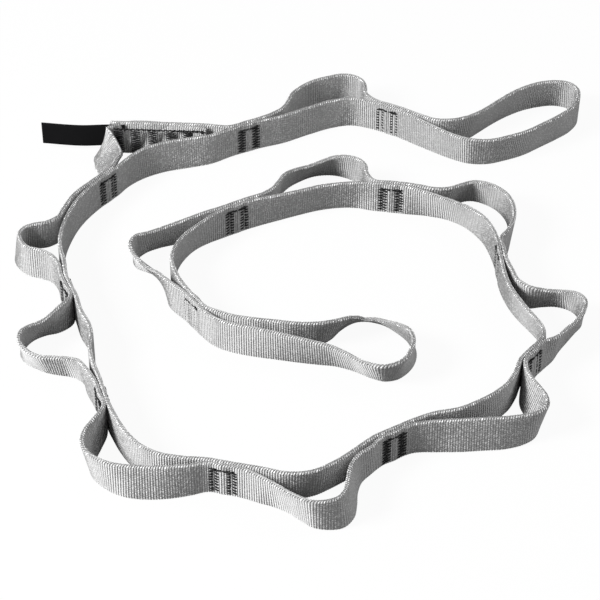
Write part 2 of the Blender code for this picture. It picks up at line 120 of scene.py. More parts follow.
SPLICE_POCKET = 2
SPLICE_HALF = 27.0 * MM
LAP_OFFSET = 1.65 * MM
LAP_FACE = LAP_OFFSET + WEBBING_THICKNESS / 2
SPLICE_BAR_CENTRE = 3.0 * MM
SPLICE_BAR_PITCH = 9.6 * MM
SPLICE_BARS = [SPLICE_BAR_CENTRE + SPLICE_BAR_PITCH * i for i in range(-2, 3)]
SPLICE_RUN_START = -25.0 * MM
SPLICE_RUN_HEIGHT = 16.7 * MM

LABEL_THICKNESS = 0.5 * MM
LABEL_WIDTH = 14.0 * MM
LABEL_MIDDLE = 10.8 * MM
LABEL_ROOT = 18.6 * MM
LABEL_TIP = 65.0 * MM
LABEL_BOW = 1.4 * MM
LABEL_DROOP = 4  # degrees
LABEL_CORNER = 0.2 * MM
LABEL_RIB_DEPTH = 0.02 * MM
LABEL_EDGE_DEPTH = 0.05 * MM
LABEL_CUT_END = 0.02

KEY_DISTANCE, KEY_SIZE = 1.6, 0.5
FILL_DISTANCE, FILL_SIZE = 0.9, 0.3
CAMERA_REACH = 10.0

# The webbing's sheen: fibres that lie along it catch light across its length.
SHEEN_IOR = 2.2
QUARTER_TURN = 0.25

# The layout, in millimetres about a point near its middle: x, y, heading in degrees.
TACK_PLACES = (
    (49.5, 147.8, 151),
    (-29.5, 131, 206),
    (-105, 84, 232),
    (-117.5, -8, 291),
    (-94.7, -89, 287),
    (-35.5, -138, 346),
    (43, -116, 31),
    (112.5, -59.5, 53),
    (103.5, 20, 94),
    (48.5, 75.6, 170),
    (-34.5, 57.5, 210),
    (-53, -20, 306),
)
SPLICE_PLACE = (-78.503, 129.003, 177)

# Routes between the tacks: x, y, degrees that the top edge leans to the left of travel.
START_LOOP = (
    (66.5, 138.8, 0), (75, 135, -3), (84, 135.2, -6), (93, 139.2, -10), (101, 146, -14),
    (109, 154, -14), (118, 162, -12), (127, 168, -10), (136, 171.7, -8), (145, 173, -8),
    (152, 171, -5), (156, 165, 0), (155.8, 156, 2), (151.3, 147.4, 6), (144, 140.3, 9),
    (134, 132.4, 10), (124, 125, 10), (113.5, 120, 10), (103, 116.6, 10), (93, 117.3, 9),
    (83.5, 121.8, 8), (74.5, 128.2, 5), (66, 134.8, 2),
)
FAR_LOOP = (
    (-41.5, -35.6, 0), (-34, -39.4, 0), (-25, -42.2, 0), (-14, -45, -3), (-3, -48, -8),
    (8, -50.8, -14), (17, -53, -20), (25, -57, -25), (33, -62.3, -28), (41, -65, -26),
    (48, -62.8, -20), (52.8, -57, -10), (55.4, -49.8, 0), (55.1, -42.4, 12), (51.8, -35.6, 26),
    (45.4, -29, 38), (38, -23.8, 46), (30, -22.8, 48), (23.5, -26.5, 36), (17, -32.4, 22),
    (9, -36.6, 12), (-1, -38, 6), (-12, -37, 2), (-24, -35.4, 0), (-34, -33, 0), (-40.5, -30, 0),
)
SPLICE_RETURN = (
    (-107.8, 127, 12), (-108.4, 123.2, 33), (-107, 117.6, 46), (-104.8, 111, 48),
    (-102.8, 104.2, 36), (-101.4, 97.8, 12),
)
SPINES = (
    ((28, 154.8, 0), (18, 152.5, 0), (5, 146.2, 0), (-10, 137.8, 0)),
    ((-50, 118.6, -3), (-62, 115.4, -6), (-76, 111.2, -6), (-87, 104.7, -4), (-94.5, 96.8, 0)),
    ((-118, 61, 0), (-122, 48, 0), (-124, 36, 0), (-124, 24, 0), (-121, 11, 0)),
    ((-108.8, -30, 0), (-104.8, -38.5, 0), (-102.8, -47, 0), (-102.7, -56, 0), (-100.8, -66, 0)),
    ((-88.3, -103.5, 0), (-84.3, -112, 0), (-79.5, -119.8, 0), (-73.5, -126.5, 0),
     (-65.5, -131.3, 0), (-55, -133.8, 0)),
    ((-17, -141.2, 0), (-8, -143.2, -4), (0, -143, -7), (7, -141, -8), (13.5, -137, -8),
     (19.5, -132.5, -7), (26, -127, -4), (32.5, -121.6, 0)),
    ((64, -103.6, 0), (75.5, -100.7, 0), (84, -96, 0), (93, -89.5, 0), (99.5, -82.5, 0),
     (103.6, -74.5, 0)),
    ((120.2, -45.5, 4), (120.4, -40, 10), (118.4, -33.5, 14), (114.8, -26.3, 14),
     (110.8, -18.6, 11), (106.9, -9.6, 8), (104.4, 0, 4)),
    ((99.8, 38, 1), (97.2, 45.5, 4), (92.4, 53.2, 9), (86, 60, 15), (78, 65.4, 17), (69, 69.2, 12)),
    ((30, 77.4, 6), (20, 76.9, 9), (10, 74.8, 9), (0, 71, 9), (-10, 67, 7)),
    ((-47.5, 47.6, 5), (-54.5, 41, 10), (-60.7, 32.5, 7), (-64.6, 23, 3), (-65.8, 12.5, 0),
     (-63.8, 2.5, 0)),
)
LOOPS = (
    ((36.6, 161, 0), (36.6, 167, 0), (34.8, 173, 0), (30.5, 177, 0), (25, 178.3, 0),
     (15.5, 175.8, 0), (6.5, 171.5, 0), (0.5, 166.2, 0), (-4.3, 160, 0), (-7, 152, 0),
     (-10, 145.5, 0), (-16, 140, 0)),
    (),
    ((-119.8, 66.5, 0), (-124.3, 55, 0), (-127.8, 47.4, 6), (-132.8, 43.4, 7), (-139, 41.8, 8),
     (-144.8, 39, 10), (-147.2, 33, 9), (-145.4, 26.8, 6), (-140.4, 21, 2), (-133.6, 18.4, 2),
     (-127.6, 14.6, 0), (-124, 9, 0)),
    ((-121.6, -26, 8), (-126.6, -29.6, 21), (-131.6, -33.6, 25), (-135.6, -38.4, 18),
     (-137.6, -44.4, 2), (-136, -50.4, -14), (-131.6, -55, -23), (-125.8, -58.4, -25),
     (-119.4, -59.8, -22), (-112.8, -61, -20), (-107, -64.4, -13), (-103.6, -71, -4)),
    ((-96.6, -109.5, -9), (-98.9, -115.5, -13), (-99.8, -121.5, -13), (-98.4, -127.8, -10),
     (-94, -133.4, -6), (-88.4, -137.4, -1), (-80, -140.4, 6), (-70, -141.4, 8), (-60, -141, 6),
     (-51, -139.6, 2)),
    ((-18.5, -145.6, -4), (-12, -149, -10), (-6, -153.2, -13), (-0.5, -157.7, -11),
     (6, -161.6, -6), (12.5, -162, 0), (18.3, -160.2, 7), (22, -155, 11), (23.4, -147.8, 11),
     (24.4, -139.6, 8), (27.5, -132, 2), (32.6, -126.7, -3)),
    ((65.5, -110.2, 6), (75, -109.8, 8), (86, -108.9, 8), (97, -108, 7), (105.3, -105.9, 2),
     (111.7, -102.3, -6), (114.8, -97.4, -14), (114.2, -91.6, -19), (111.8, -86, -20),
     (109.3, -80, -15), (108.4, -73.5, -6)),
    ((125, -47.8, -9), (129.8, -40.8, -15), (134.8, -34, -18), (139, -27.2, -16),
     (141.6, -20.6, -5), (140.2, -14.8, 10), (136.2, -10.6, 21), (130.3, -8.4, 26),
     (123.5, -8.2, 24), (116.8, -8, 16), (111, -4.4, 7), (108, 2.8, 2)),
    ((107.6, 36, -3), (109.8, 42.5, -6), (111.2, 50, -7), (111.8, 58, -2), (110.2, 66, 3),
     (106, 73.3, 9), (99.5, 79, 15), (92, 81.4, 20), (85, 79, 21), (78, 75, 18),
     (71, 73.5, 12), (64.5, 74.2, 5)),
    ((35.4, 86.5, 0), (35.2, 92, 1), (32.2, 98, 6), (26, 102.4, 13), (17.5, 104.2, 23),
     (9, 102.3, 31), (1.5, 97.8, 31), (-5.5, 92.3, 24), (-10.3, 85.4, 14), (-12.2, 78.6, 6),
     (-14.9, 71.8, 2), (-20, 66.8, 0)),
    ((-51.5, 50.4, 4), (-59, 47, 10), (-66.5, 44, 16), (-74, 40.6, 20), (-81, 36.3, 18),
     (-86, 31, 4), (-86, 25, -14), (-82, 20, -30), (-77, 15.6, -38), (-73, 10, -36),
     (-70, 3, -20), (-67.2, -4, -6)),
)

# How tightly each tack is drawn in: 0 is loose, 1 is tight, and past 1 the stitches sink into the webbing.
TIGHTNESS = (1.1, 0.1, 0.4, 0.6, 0.8, 0.8, 0.0, 1.1, 1.2, 0.3, 0.6, 1.3)
STEPS_PER_RIB = 4
STEPS_PER_KNOT = 24
FACE_STEPS = 4
CORNER_STEPS = 3
UP = np.array((0.0, 0.0, 1.0))


def heading_of(degrees):
    return np.array((math.cos(math.radians(degrees)), math.sin(math.radians(degrees))))


class Station:
    """A place on the chain with a heading: points are given along it and to its left."""

    def __init__(self, place):
        self.centre = np.array(place[:2]) * MM + LAYOUT_ORIGIN
        self.heading = heading_of(place[2])
        self.left = np.array((-self.heading[1], self.heading[0]))

    def at(self, along, left=0.0):
        return self.centre + self.heading * along + self.left * left

    def point(self, along, left=0.0, lean=0.0):
        """The same place as a knot of a route: x, y and lean."""
        return np.array((*self.at(along, left), lean))

    def world(self, points):
        """Points given along, to the left and up, as points of the frame."""
        flat = self.centre + np.outer(points[:, 0], self.heading) + np.outer(points[:, 1], self.left)
        return np.column_stack((flat, points[:, 2]))


def knots(rows):
    return [np.array((x * MM + LAYOUT_ORIGIN[0], y * MM + LAYOUT_ORIGIN[1], math.radians(lean)))
            for x, y, lean in rows]


def layout_origin():
    """Where the layout's origin lies in the frame, from the first joint."""
    x, y, heading = TACK_PLACES[0]
    drawn = np.array((x, y)) * MM + heading_of(heading) * HINGE_REACH
    return np.array(frame["joints"][0]["pos_m"][:2]) - drawn


LAYOUT_ORIGIN = layout_origin()
# The camera and the lights face this point on the table.
AIM = LAYOUT_ORIGIN + np.array((-0.23, 0.7)) * MM
TACKS = [Station(place) for place in TACK_PLACES]
SPLICE = Station(SPLICE_PLACE)
BODIES = [frame["joints"][0]["parent"]] + [joint["child"] for joint in frame["joints"]]


def smoothed(route, first_heading, last_heading):
    """A smooth run through knots that leaves and arrives along the given headings."""
    spans = [np.linalg.norm(b[:2] - a[:2]) for a, b in zip(route, route[1:])]
    slopes = [np.array((*first_heading, 0.0))]
    for i in range(1, len(route) - 1):
        before = (route[i] - route[i - 1]) / spans[i - 1]
        after = (route[i + 1] - route[i]) / spans[i]
        slopes.append((before * spans[i] + after * spans[i - 1]) / (spans[i - 1] + spans[i]))
    slopes.append(np.array((*last_heading, 0.0)))
    t = np.linspace(0, 1, STEPS_PER_KNOT, endpoint=False)[:, None]
    run = []
    for i, span in enumerate(spans):
        run.append(
            route[i] * (2 * t**3 - 3 * t**2 + 1)
            + slopes[i] * span * (t**3 - 2 * t**2 + t)
            + route[i + 1] * (3 * t**2 - 2 * t**3)
            + slopes[i + 1] * span * (t**3 - t**2)
        )
    return np.vstack(run + [route[-1][None]])


def evenly(run, count):
    """The run at even steps of its length."""
    along = np.concatenate(([0.0], np.cumsum(np.linalg.norm(np.diff(run[:, :2], axis=0), axis=1))))
    keep = np.concatenate(([True], np.diff(along) > 1e-7))
    steps = np.linspace(0, along[-1], count)
    return np.column_stack([np.interp(steps, along[keep], run[keep, i]) for i in range(3)])


def length_of(run):
    return np.linalg.norm(np.diff(run[:, :2], axis=0), axis=1).sum()


class Section:
    """A strip's outline, round at its corners: sideways and upwards, with what each point carries."""

    def __init__(self, thickness, width, corner, slant):
        half, tall = thickness / 2, width / 2
        flat = np.linspace(-1, 1, FACE_STEPS + 1)[:-1] * (tall - corner)
        turn = np.linspace(0, math.pi / 2, CORNER_STEPS + 1)
        quarter = np.column_stack((np.cos(turn), np.sin(turn))) * corner
        top = np.vstack((
            quarter + (half - corner, tall - corner),
            (quarter * (-1, 1))[::-1] + (corner - half, tall - corner),
        ))
        face = np.column_stack((np.full(len(flat), half), flat))
        side = np.vstack((face, top[:-1]))
        self.points = np.vstack((side, -side))
        ahead, behind = np.roll(self.points, -1, axis=0), np.roll(self.points, 1, axis=0)
        out = (ahead - behind)[:, ::-1] * (1, -1)
        self.normals = out / np.linalg.norm(out, axis=1)[:, None]
        steps = np.linalg.norm(ahead - self.points, axis=1)
        self.around = np.concatenate(([0.0], np.cumsum(steps)))
        self.edge = np.clip((np.abs(self.points[:, 1]) - (tall - corner)) / corner, 0, 1)
        # The ribs slant by a whole rib as they cross each edge, so they meet again on both faces.
        share = np.clip((half - self.points[:, 0]) / thickness, 0, 1) * slant
        self.phase = np.append(share, share[0])


def standing_height(section, lean):
    """Height of the strip's middle when it leans and its lowest point is on the table."""
    low = np.outer(np.cos(lean), section.points[:, 1]) - np.outer(np.sin(lean), section.points[:, 0])
    return -low.min(axis=1)


def grid_mesh(name, grid, uv, selvedge=None):
    """A closed tube of quads from rings of points, with flat caps and a map of ribs and distance."""
    rings, sides = grid.shape[:2]
    ring, side = np.meshgrid(np.arange(rings - 1), np.arange(sides), indexing="ij")
    after = (side + 1) % sides
    here, there = ring * sides, (ring + 1) * sides
    quads = np.stack((here + side, here + after, there + after, there + side), -1).reshape(-1, 4)
    caps = np.concatenate((np.arange(sides)[::-1], (rings - 1) * sides + np.arange(sides)))
    mesh = bpy.data.meshes.new(name)
    mesh.vertices.add(rings * sides)
    mesh.vertices.foreach_set("co", grid.astype(np.float32).ravel())
    mesh.loops.add(quads.size + caps.size)
    mesh.loops.foreach_set("vertex_index", np.concatenate((quads.ravel(), caps)).astype(np.int32))
    mesh.polygons.add(len(quads) + 2)
    starts = np.concatenate((np.arange(len(quads)) * 4, [quads.size, quads.size + sides]))
    mesh.polygons.foreach_set("loop_start", starts.astype(np.int32))
    smooth = np.ones(len(quads) + 2, bool)
    smooth[-2:] = False
    mesh.polygons.foreach_set("use_smooth", smooth)
    corners = np.stack(
        (uv[:-1, :-1], uv[:-1, 1:], uv[1:, 1:], uv[1:, :-1]), axis=2
    ).reshape(-1, 2)
    ends = np.vstack((uv[0, :-1][::-1], uv[-1, :-1]))
    layer = mesh.uv_layers.new(name="run")
    layer.uv.foreach_set("vector", np.vstack((corners, ends)).astype(np.float32).ravel())
    if selvedge is not None:
        mark = mesh.attributes.new("selvedge", "FLOAT", "POINT")
        mark.data.foreach_set("value", np.tile(selvedge, rings).astype(np.float32))
    mesh.update(calc_edges=True)
    mesh.validate()
    return mesh


def frames_along(run, section, middle=None):
    """Centres, sideways and upward directions of the strip at each step of the run."""
    headings = np.gradient(run[:, :2], axis=0)
    headings /= np.linalg.norm(headings, axis=1)[:, None]
    left = np.column_stack((-headings[:, 1], headings[:, 0], np.zeros(len(run))))
    lean = run[:, 2]
    cos, sin = np.cos(lean)[:, None], np.sin(lean)[:, None]
    side, rise = left * cos - UP * sin, UP * cos + left * sin
    height = np.full(len(run), middle) if middle else standing_height(section, lean)
    return np.column_stack((run[:, :2], height)), side, rise


def ridge(phase):
    """Height of a rib, 0 in the groove and 1 on the crest."""
    return np.abs(np.sin(math.pi * phase)) ** RIB_ROUNDNESS


def drawn_in(distance):
    """Share of the pinch at a distance from a bar's middle."""
    return np.exp(-((distance / (BAR_WIDTH / 2)) ** 2))


def swept(name, run, section, rib_pitch, depth, edge_depth, ends, middle=None, dents=()):
    """A ribbed strip along the run. Its first and last rings close in by the shares in ends."""
    ribs = max(2, round(length_of(run) / rib_pitch))
    steps = ribs * STEPS_PER_RIB + 1
    run = evenly(run, steps)
    centres, side, rise = frames_along(run, section, middle)
    phase = np.linspace(0, ribs, steps)[:, None] + section.phase[None, :]
    sunk = (1 - ridge(phase[:, :-1])) * (depth + (edge_depth - depth) * section.edge)
    offsets = section.points[None] - section.normals[None] * sunk[..., None]
    along = np.linspace(0, length_of(run), steps)
    for place, sign, much in dents:
        here = drawn_in(along - place)[:, None] * much
        offsets[..., 0] -= here * sign * (section.points[:, 0] * sign > 0) * (1 - section.edge)
    for i, share in enumerate(ends):
        if share:
            distance = along if i == 0 else along[-1] - along
            closing = 1 - share * np.clip(1 - distance / (rib_pitch / 2), 0, 1) ** 2
            offsets *= closing[:, None, None]
    grid = centres[:, None] + side[:, None] * offsets[..., :1] + rise[:, None] * offsets[..., 1:]
    around = np.broadcast_to(section.around / MM, phase.shape)
    return grid_mesh(name, grid, np.stack((phase, around), -1), section.edge)


def shown(name, mesh, material, body=None, bend=None, stands_for=()):
    """Puts the mesh in the scene as a piece that rides on a body, or, given a bend, stays where it lies in
    the frame.
    """
    mesh.materials.append(material)
    piece = bpy.data.objects.new(name, mesh)
    bpy.context.scene.collection.objects.link(piece)
    if stands_for:
        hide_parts(*stands_for)
    if bend is None:
        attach(piece, body)
        return piece
    tack = TACKS[bend]
    start = (*tack.at(HINGE_REACH - BEND_BEHIND), 0.0)
    end = (*tack.at(HINGE_REACH + BEND_AHEAD), 0.0)
    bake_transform(piece)
    return piece


def bar_dents(before, after, total, sign, settings):
    """Dents where the bars draw the outer face in, at the tacks that the strand starts and ends in."""
    places = []
    if before:
        places.append(BAR_PITCH / 2)
    if after:
        places.append(total - BAR_PITCH / 2)
    return [(place, sign, settings.pinch) for place in places]


def webbing_strand(name, route, first_heading, last_heading, sign, body=None, bend=None, free=(False, False)):
    """One strand of webbing, from a tack's middle or a cut end to the next."""
    settings = bpy.context.scene.daisy_webbing
    run = smoothed(route, first_heading, last_heading)
    section = Section(WEBBING_THICKNESS, WEBBING_WIDTH, settings.corner, 1)
    dents = bar_dents(not free[0], not free[1], length_of(run), sign, settings)
    ends = [settings.cut_end if cut else 0.0 for cut in free]
    mesh = swept(name, run, section, settings.rib_pitch, settings.rib_depth, settings.edge_depth, ends,
                 dents=dents)
    return shown("webbing_" + name, mesh, webbing_material(), body, bend, (name,))


def pocket_strand(number, kind, layer, rows):
    here, there = TACKS[number - 1], TACKS[number]
    route = [here.point(0, layer), here.point(HINGE_REACH, layer)]
    route += knots(rows) + [there.point(-TACK_HALF, layer), there.point(0, layer)]
    name = f"pocket_{number:02d}_{kind}"
    return webbing_strand(name, route, here.heading, there.heading, np.sign(layer), bend=number - 1)


def tube_mesh(name, paths, radius, sides, facing):
    """Round threads along short paths, all in one mesh, with closed ends."""
    turn = np.linspace(0, 2 * math.pi, sides, endpoint=False)
    verts, faces, marks = [], [], []
    for path, out in zip(paths, facing):
        along = np.gradient(path, axis=0)
        along /= np.linalg.norm(along, axis=1)[:, None]
        across = np.cross(along, out)
        across /= np.linalg.norm(across, axis=1)[:, None]
        over = np.cross(across, along)
        ring = across[:, None] * np.cos(turn)[:, None] + over[:, None] * np.sin(turn)[:, None]
        base = sum(len(v) for v in verts)
        verts.append((path[:, None] + ring * radius).reshape(-1, 3))
        rings = len(path)
        for i in range(rings - 1):
            for j in range(sides):
                k = (j + 1) % sides
                faces.append((base + i * sides + j, base + i * sides + k,
                              base + (i + 1) * sides + k, base + (i + 1) * sides + j))
        faces.append(tuple(base + j for j in reversed(range(sides))))
        faces.append(tuple(base + (rings - 1) * sides + j for j in range(sides)))
        steps = np.concatenate(([0.0], np.cumsum(np.linalg.norm(np.diff(path, axis=0), axis=1))))
        around = np.tile(turn / (2 * math.pi), rings)
        marks.append(np.column_stack((np.repeat(steps / MM, sides), around)))
    mesh = bpy.data.meshes.new(name)
    mesh.from_pydata(np.vstack(verts).tolist(), [], faces)
    mesh.polygons.foreach_set("use_smooth", np.ones(len(faces), bool))
    uv = np.vstack(marks)
    layer = mesh.uv_layers.new(name="run")
    index = np.empty(len(mesh.loops), np.int32)
    mesh.loops.foreach_get("vertex_index", index)
    layer.uv.foreach_set("vector", uv[index].astype(np.float32).ravel())
    mesh.validate()
    return mesh


def stitch(start, end, face, side, thread, pull=0.0):
    """One stitch on a face: out of the webbing, over it, drawn in at its middle by the pull, and back in."""
    t = np.linspace(0, 1, thread.stitch_steps)
    flat = np.outer(1 - t, start) + np.outer(t, end)
    bow = np.sin(math.pi * t)
    lift = bow**RISE_SHARPNESS * (thread.proud + thread.sunk) - thread.sunk - bow**PULL_SHARPNESS * pull
    return np.column_stack((flat[:, 0], side * (face + lift), flat[:, 1]))


def zigzag(centre, face, side, thread, chance, turns, pull):
    """The stitches of one bar, side to side and upwards, drawn in at their middles by the pull."""
    turns *= 2
    heights = np.linspace(BAR_LOW, BAR_HIGH, turns + 1) + chance.normal(0, thread.scatter, turns + 1)
    sides = np.where(np.arange(turns + 1) % 2, 1, -1) * (BAR_WIDTH / 2 + thread.overhang)
    sides = sides + centre + chance.normal(0, thread.scatter, turns + 1)
    places = np.column_stack((sides, heights))
    return [stitch(a, b, face, side, thread, pull) for a, b in zip(places, places[1:])]


def running(start, end, height, face, side, thread, chance):
    """A row of stitches from one place to another at one height."""
    count = max(1, round(abs(end - start) / thread.run_length))
    places = np.linspace(start, end, count + 1)
    rows = []
    for a, b in zip(places, places[1:]):
        low, high = height + chance.normal(0, thread.scatter, 2)
        short = (b - a) * thread.run_gap / 2
        rows.append(stitch((a + short, low), (b - short, high), face, side, thread))
    return rows


def knot(centre, height, face, side, thread, chance):
    """A small tangle where the thread starts or ends."""
    rows = []
    for _ in range(thread.knot_turns):
        a, b = chance.normal(0, 1, (2, 2)) * (KNOT_SPREAD * thread.diameter, thread.diameter)
        rows.append(stitch((centre + a[0], height + a[1]), (centre + b[0] + thread.diameter, height + b[1]),
                           face + thread.proud, side, thread))
    return rows


def sewn(name, station, paths, body):
    """All the stitches of one tack or splice as one piece of thread."""
    thread = bpy.context.scene.daisy_thread
    facing = [np.array((*(station.left * np.sign(path[len(path) // 2, 1])), 0.0)) for path in paths]
    world = [station.world(path) for path in paths]
    mesh = tube_mesh(name, world, thread.diameter / 2, thread.sides, facing)
    return shown("thread_" + name, mesh, thread_material(), body, None, (name,))


def bar_tack(number):
    """The thread of one tack: a zigzag bar, a run along the top, and a second bar, on both faces."""
    thread = bpy.context.scene.daisy_thread
    tightness = TIGHTNESS[number - 1]
    pull = bpy.context.scene.daisy_webbing.pinch + tightness * thread.most_pull
    face = TACK_FACE - max(0.0, tightness - 1.0) * thread.buried
    chance = np.random.default_rng(number)
    paths = []
    for side in (-1, 1):
        for centre in TACK_BARS:
            paths += zigzag(centre, face, side, thread, chance, thread.turns, pull)
        for row in range(RUN_ROWS):
            height = BAR_HIGH - row * thread.diameter * RUN_ROW_SPACING
            paths += running(TACK_BARS[0] - RUN_BEFORE, TACK_BARS[1] + RUN_BEYOND, height,
                             face, side, thread, chance)
        paths += knot(chance.choice(TACK_BARS), BAR_HIGH, face, side, thread, chance)
    sewn(f"bar_tack_{number:02d}", TACKS[number - 1], paths, BODIES[number - 1])


class Wiring:
    """Adds shader nodes to a tree and joins them."""

    def __init__(self, tree):
        self.tree = tree

    def node(self, kind, inputs=None, **settings):
        made = self.tree.nodes.new(kind)
        made.location = (200 * (len(self.tree.nodes) % 8), -260 * (len(self.tree.nodes) // 8))
        for name, value in settings.items():
            setattr(made, name, value)
        for socket, value in (inputs or {}).items():
            if isinstance(value, bpy.types.NodeSocket):
                self.tree.links.new(value, made.inputs[socket])
            else:
                made.inputs[socket].default_value = value
        return made

    def math(self, operation, *values):
        return self.node("ShaderNodeMath", dict(enumerate(values)), operation=operation).outputs[0]

    def mix(self, factor, a, b, blend="MIX"):
        made = self.node("ShaderNodeMix", {0: factor, 6: a, 7: b}, data_type="RGBA", blend_type=blend)
        return made.outputs[2]

    def ramp(self, value, low, high):
        made = self.node("ShaderNodeMapRange", {"Value": value, "From Min": low, "From Max": high})
        made.interpolation_type = "SMOOTHSTEP"
        return made.outputs[0]

    def group(self, group, **inputs):
        made = self.node("ShaderNodeGroup")
        made.node_tree = group
        for name, value in inputs.items():
            socket = made.inputs[name.replace("_", " ")]
            if isinstance(value, bpy.types.NodeSocket):
                self.tree.links.new(value, socket)
            else:
                socket.default_value = value
        return made.outputs


def new_group(name, inputs, outputs):
    """An empty shader node group with float sockets: its wiring, its inputs and its output node."""
    group = bpy.data.node_groups.new(name, "ShaderNodeTree")
    for direction, names in (("INPUT", inputs), ("OUTPUT", outputs)):
        for socket in names:
            group.interface.new_socket(name=socket, in_out=direction, socket_type="NodeSocketFloat")
    wiring = Wiring(group)
    return wiring, wiring.node("NodeGroupInput").outputs, wiring.node("NodeGroupOutput")


def woven_rib_group():
    """Ribs across a strip with the yarns that pass over them: a groove mask, beads, a height, odd yarns."""
    if "Woven ribs" in bpy.data.node_groups:
        return bpy.data.node_groups["Woven ribs"]
    wiring, given, out = new_group(
        "Woven ribs", ("Phase", "Across", "Yarn"), ("Crest", "Bead", "Height", "Odd")
    )
    crest = wiring.math("ABSOLUTE", wiring.math("SINE", wiring.math("MULTIPLY", given["Phase"], math.pi)))
    row = wiring.math("FLOOR", given["Phase"])
    half = wiring.math("MULTIPLY", wiring.math("MODULO", row, 2.0), 0.5)
    shifted = wiring.math("ADD", wiring.math("DIVIDE", given["Across"], given["Yarn"]), half)
    fine = [wiring.math("FLOOR", wiring.math("MULTIPLY", value, 2.0)) for value in (given["Phase"], shifted)]
    cell = wiring.node("ShaderNodeCombineXYZ", {"X": fine[0], "Y": fine[1]}).outputs[0]
    odd = wiring.node("ShaderNodeTexWhiteNoise", {"Vector": cell}, noise_dimensions="2D").outputs[0]
    bead = wiring.math("ABSOLUTE", wiring.math("SINE", wiring.math("MULTIPLY", shifted, math.pi)))
    full = wiring.math("MULTIPLY_ADD", bead, 0.6, wiring.math("MULTIPLY", odd, 0.4))
    height = wiring.math("MULTIPLY", crest, wiring.math("ADD", full, 0.2))
    for name, value in (("Crest", crest), ("Bead", bead), ("Height", height), ("Odd", odd)):
        wiring.tree.links.new(value, out.inputs[name])
    return wiring.tree


def patch_and_fleck_group():
    """Slow patches of painted light and shade and a slow wavy lie, and fine flecks where single fibres catch
    light.
    """
    if "Patches and flecks" in bpy.data.node_groups:
        return bpy.data.node_groups["Patches and flecks"]
    wiring, given, out = new_group("Patches and flecks", ("Along", "Across", "Amount"), ("Shade", "Fleck", "Wave"))
    place = wiring.node("ShaderNodeCombineXYZ", {"X": given["Along"], "Y": given["Across"]}).outputs[0]
    slow = wiring.node("ShaderNodeTexNoise", {"Vector": place, "Scale": 0.11, "Detail": 3.0}).outputs[0]
    fine = wiring.node(
        "ShaderNodeTexNoise", {"Vector": place, "Scale": 1.7, "Detail": 2.0, "Roughness": 0.7}
    ).outputs[0]
    low = wiring.math("MULTIPLY", given["Across"], 0.35)
    lie = wiring.node("ShaderNodeCombineXYZ", {"X": given["Along"], "Y": low}).outputs[0]
    wave = wiring.node("ShaderNodeTexNoise", {"Vector": lie, "Scale": 0.032, "Detail": 1.0}).outputs[0]
    wiring.tree.links.new(wave, out.inputs["Wave"])
    # Painted light and shade: slow patches that make the colour lighter and darker.
    swing = wiring.math("MULTIPLY", wiring.math("SUBTRACT", slow, 0.5), given["Amount"])
    wiring.tree.links.new(wiring.math("ADD", swing, 1.0), out.inputs["Shade"])
    wiring.tree.links.new(wiring.ramp(fine, 0.35, 0.65), out.inputs["Fleck"])
    return wiring.tree


def new_material(name):
    """A material with its Principled shader, its wiring and the run map's two values."""
    material = bpy.data.materials.new(name)
    material.use_nodes = True
    wiring = Wiring(material.node_tree)
    shader = material.node_tree.nodes["Principled BSDF"]
    uv = wiring.node("ShaderNodeUVMap", uv_map="run").outputs[0]
    split = wiring.node("ShaderNodeSeparateXYZ", {0: uv})
    return material, shader, wiring, split.outputs[0], split.outputs[1]


def finish_shader(shader, wiring, colour, roughness, height, distance):
    links = wiring.tree.links
    links.new(colour, shader.inputs["Base Color"])
    links.new(roughness, shader.inputs["Roughness"])
    bump = wiring.node("ShaderNodeBump", {"Height": height, "Distance": distance, "Strength": 1.0})
    links.new(bump.outputs[0], shader.inputs["Normal"])


